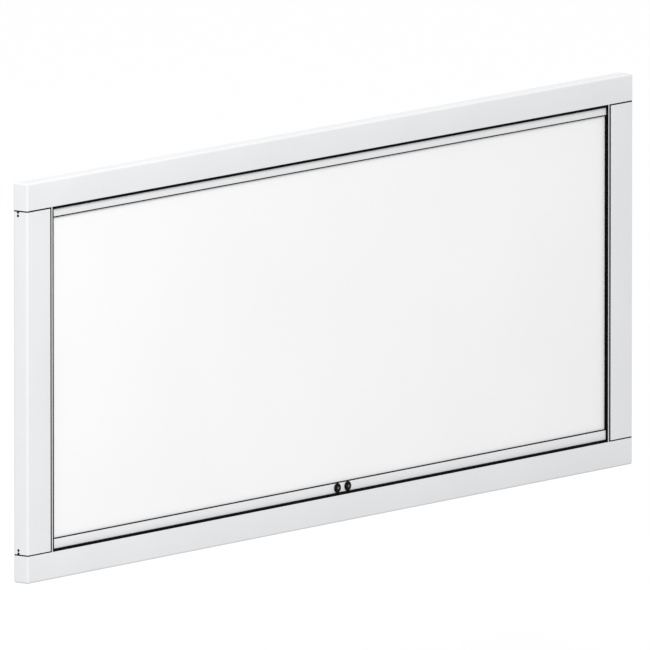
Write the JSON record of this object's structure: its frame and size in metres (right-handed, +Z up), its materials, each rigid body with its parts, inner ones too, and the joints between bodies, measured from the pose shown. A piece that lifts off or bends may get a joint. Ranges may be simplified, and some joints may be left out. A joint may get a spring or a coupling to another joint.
{
  "type": "projector screen",
  "caption": "Wall-hung fixed-frame projector screen: a light grey aluminium frame with mitre-free butted corners that clamps a stretched matt white surface.",
  "frame": {"origin": "centre of the whole part's box, from the frame's front face to the wall cleats' back face", "axes": "+X along the width, +Y from the picture side back towards the wall, +Z up"},
  "size_m": [2.165, 0.0456, 0.88],
  "materials": {
    "frame": "light grey satin powder coat on extruded aluminium",
    "strip": "light grey satin powder coat",
    "bead": "mid grey satin extruded plastic",
    "rubber": "black matt moulded rubber",
    "black_steel": "black oxide",
    "surface": "matt white projection film, finely textured",
    "bare_aluminium": "mill finish, fine drawn lines",
    "zinc_steel": "bright zinc plate"
  },
  "bodies": {
    "root": {"bottom_brace_screw": "zinc_steel", "bottom_film_seal": "rubber", "bottom_left_back_screw": "black_steel", "bottom_left_corner_bracket": "bare_aluminium", "bottom_left_end_cap": "frame", "bottom_left_side_screw_1": "black_steel", "bottom_left_side_screw_2": "black_steel", "bottom_rail": "frame", "bottom_rail_seal": "rubber", "bottom_right_back_screw": "black_steel", "bottom_right_corner_bracket": "bare_aluminium", "bottom_right_end_cap": "frame", "bottom_right_side_screw_1": "black_steel", "bottom_right_side_screw_2": "black_steel", "bottom_strip": "strip", "centre_brace": "bare_aluminium", "left_bead": "bead", "left_bumper": "rubber", "left_film_seal": "rubber", "left_hanger": "zinc_steel", "left_hanger_screw_1": "zinc_steel", "left_hanger_screw_2": "zinc_steel", "left_stile": "frame", "left_stile_seal": "rubber", "left_strip_nut": "zinc_steel", "left_strip_screw": "black_steel", "left_wall_cleat": "zinc_steel", "right_bead": "bead", "right_bumper": "rubber", "right_film_seal": "rubber", "right_hanger": "zinc_steel", "right_hanger_screw_1": "zinc_steel", "right_hanger_screw_2": "zinc_steel", "right_stile": "frame", "right_stile_seal": "rubber", "right_strip_nut": "zinc_steel", "right_strip_screw": "black_steel", "right_wall_cleat": "zinc_steel", "screen_surface": "surface", "top_brace_screw": "zinc_steel", "top_film_seal": "rubber", "top_left_back_screw": "black_steel", "top_left_corner_bracket": "bare_aluminium", "top_left_end_cap": "frame", "top_left_side_screw_1": "black_steel", "top_left_side_screw_2": "black_steel", "top_rail": "frame", "top_rail_seal": "rubber", "top_right_back_screw": "black_steel", "top_right_corner_bracket": "bare_aluminium", "top_right_end_cap": "frame", "top_right_side_screw_1": "black_steel", "top_right_side_screw_2": "black_steel", "top_strip": "strip"}
  },
  "joints": []
}
